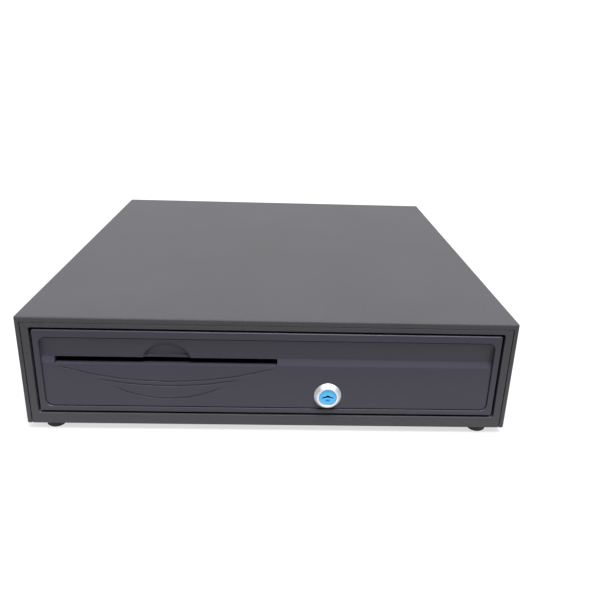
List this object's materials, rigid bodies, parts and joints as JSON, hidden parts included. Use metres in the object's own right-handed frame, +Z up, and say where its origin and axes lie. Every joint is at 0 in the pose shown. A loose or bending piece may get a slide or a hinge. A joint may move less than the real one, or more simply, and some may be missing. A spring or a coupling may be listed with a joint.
{
  "type": "cash drawer",
  "caption": "Low steel point-of-sale cash drawer: powder-coated case on rubber feet, moulded front with media slot and key lock, sliding till on ball slides, solenoid latch.",
  "frame": {"origin": "under the middle of the whole object, on the plane that its feet stand on", "axes": "+X to the right seen from the front, +Y from front to back, +Z up"},
  "size_m": [0.405, 0.4254, 0.103],
  "materials": {
    "case_paint": "fine textured powder coat",
    "drawer_steel": "satin powder coat",
    "zinc_steel": "bright zinc plate",
    "bright_steel": "bright",
    "screw_steel": "black oxide",
    "foot_rubber": "matt",
    "front_moulding": "fine moulded grain",
    "till_plastic": "satin",
    "clip_plastic": "satin",
    "lock_chrome": "polished",
    "rotor_blue": "gloss",
    "coil_tape": "satin tape",
    "socket_plastic": "satin",
    "contact_gold": "gold flash",
    "lead_jacket": "satin"
  },
  "bodies": {
    "case": {"top_cover": "case_paint", "base_plate": "case_paint", "front_frame": "case_paint", "rear_panel": "case_paint", "case_screws": "screw_steel", "foot_screws": "screw_steel", "housing_rail_screws": "screw_steel", "foot_front_left": "foot_rubber", "foot_front_right": "foot_rubber", "foot_rear_left": "foot_rubber", "foot_rear_right": "foot_rubber", "slide_bracket_left": "zinc_steel", "housing_rail_left": "zinc_steel", "slide_bracket_right": "zinc_steel", "housing_rail_right": "zinc_steel", "latch_bracket": "zinc_steel", "latch_screws": "screw_steel", "latch_pivot_pin": "bright_steel", "pivot_clip": "bright_steel", "solenoid_frame": "zinc_steel", "solenoid_coil": "coil_tape", "latch_spring": "bright_steel", "modular_socket": "socket_plastic", "socket_contacts": "contact_gold", "signal_lead": "lead_jacket", "lead_clip": "socket_plastic", "ejector_spring": "bright_steel"},
    "drawer": {"drawer_pan": "drawer_steel", "drawer_front": "front_moulding", "front_screws": "screw_steel", "drawer_rail_left": "zinc_steel", "drawer_rail_right": "zinc_steel", "drawer_rail_screws": "screw_steel", "striker_plate": "zinc_steel", "striker_peg": "bright_steel", "lock_body": "lock_chrome", "lock_nut": "lock_chrome", "till_tray": "till_plastic", "coin_tray": "till_plastic", "clip_rod": "bright_steel", "clip_springs": "bright_steel"},
    "lock_core": {"lock_rotor": "rotor_blue", "lock_cam": "zinc_steel", "tail_rod": "zinc_steel"},
    "latch": {"latch_lever": "zinc_steel", "lever_pin": "bright_steel"},
    "plunger": {"solenoid_plunger": "zinc_steel"},
    "middle_rail_left": {"middle_rail_left": "zinc_steel"},
    "outer_cage_left": {"outer_ball_cage_left": "bright_steel"},
    "inner_cage_left": {"inner_ball_cage_left": "bright_steel"},
    "middle_rail_right": {"middle_rail_right": "zinc_steel"},
    "outer_cage_right": {"outer_ball_cage_right": "bright_steel"},
    "inner_cage_right": {"inner_ball_cage_right": "bright_steel"},
    "clip_1": {"bill_clip_1": "clip_plastic"},
    "clip_2": {"bill_clip_2": "clip_plastic"},
    "clip_3": {"bill_clip_3": "clip_plastic"},
    "clip_4": {"bill_clip_4": "clip_plastic"},
    "clip_5": {"bill_clip_5": "clip_plastic"}
  },
  "joints": [
    {"name": "drawer_slide", "type": "slide", "parent": "case", "child": "drawer", "axis": [0, -1, 0], "range_m": [0, 0.28], "deforming": ["ejector_spring"]},
    {"name": "middle_rail_left_slide", "type": "slide", "parent": "case", "child": "middle_rail_left", "axis": [0, -1, 0], "range_m": [0, 0.14]},
    {"name": "outer_cage_left_slide", "type": "slide", "parent": "case", "child": "outer_cage_left", "axis": [0, -1, 0], "range_m": [0, 0.07]},
    {"name": "inner_cage_left_slide", "type": "slide", "parent": "case", "child": "inner_cage_left", "axis": [0, -1, 0], "range_m": [0, 0.21]},
    {"name": "middle_rail_right_slide", "type": "slide", "parent": "case", "child": "middle_rail_right", "axis": [0, -1, 0], "range_m": [0, 0.14]},
    {"name": "outer_cage_right_slide", "type": "slide", "parent": "case", "child": "outer_cage_right", "axis": [0, -1, 0], "range_m": [0, 0.07]},
    {"name": "inner_cage_right_slide", "type": "slide", "parent": "case", "child": "inner_cage_right", "axis": [0, -1, 0], "range_m": [0, 0.21]},
    {"name": "lock_turn", "type": "hinge", "parent": "drawer", "child": "lock_core", "pos_m": [0.049, -0.2095, 0.0349], "axis": [0, 1, 0], "range_deg": [-45, 90]},
    {"name": "latch_swing", "type": "hinge", "parent": "case", "child": "latch", "pos_m": [0.0182, 0.1995, 0.042], "axis": [0, 0, 1], "range_deg": [0, 12], "deforming": ["latch_spring"]},
    {"name": "plunger_slide", "type": "slide", "parent": "case", "child": "plunger", "axis": [1, 0, 0], "range_m": [0, 0.0026]},
    {"name": "clip_1_lift", "type": "hinge", "parent": "drawer", "child": "clip_1", "pos_m": [-0.1392, 0.1605, 0.076], "axis": [-1, 0, 0], "range_deg": [0, 26], "stiffness_Nm_per_rad": 0.03, "springref_deg": -34.38, "deforming": ["clip_springs"]},
    {"name": "clip_2_lift", "type": "hinge", "parent": "drawer", "child": "clip_2", "pos_m": [-0.0696, 0.1605, 0.076], "axis": [-1, 0, 0], "range_deg": [0, 26], "stiffness_Nm_per_rad": 0.03, "springref_deg": -34.38},
    {"name": "clip_3_lift", "type": "hinge", "parent": "drawer", "child": "clip_3", "pos_m": [0, 0.1605, 0.076], "axis": [-1, 0, 0], "range_deg": [0, 26], "stiffness_Nm_per_rad": 0.03, "springref_deg": -34.38},
    {"name": "clip_4_lift", "type": "hinge", "parent": "drawer", "child": "clip_4", "pos_m": [0.0696, 0.1605, 0.076], "axis": [-1, 0, 0], "range_deg": [0, 26], "stiffness_Nm_per_rad": 0.03, "springref_deg": -34.38},
    {"name": "clip_5_lift", "type": "hinge", "parent": "drawer", "child": "clip_5", "pos_m": [0.1392, 0.1605, 0.076], "axis": [-1, 0, 0], "range_deg": [0, 26], "stiffness_Nm_per_rad": 0.03, "springref_deg": -34.38}
  ],
  "couplings": [
    {"joint": "middle_rail_left_slide", "follows": "drawer_slide", "ratio": 0.5},
    {"joint": "outer_cage_left_slide", "follows": "drawer_slide", "ratio": 0.25},
    {"joint": "inner_cage_left_slide", "follows": "drawer_slide", "ratio": 0.75},
    {"joint": "middle_rail_right_slide", "follows": "drawer_slide", "ratio": 0.5},
    {"joint": "outer_cage_right_slide", "follows": "drawer_slide", "ratio": 0.25},
    {"joint": "inner_cage_right_slide", "follows": "drawer_slide", "ratio": 0.75},
    {"joint": "plunger_slide", "follows": "latch_swing", "m_per_rad": 0.012}
  ]
}
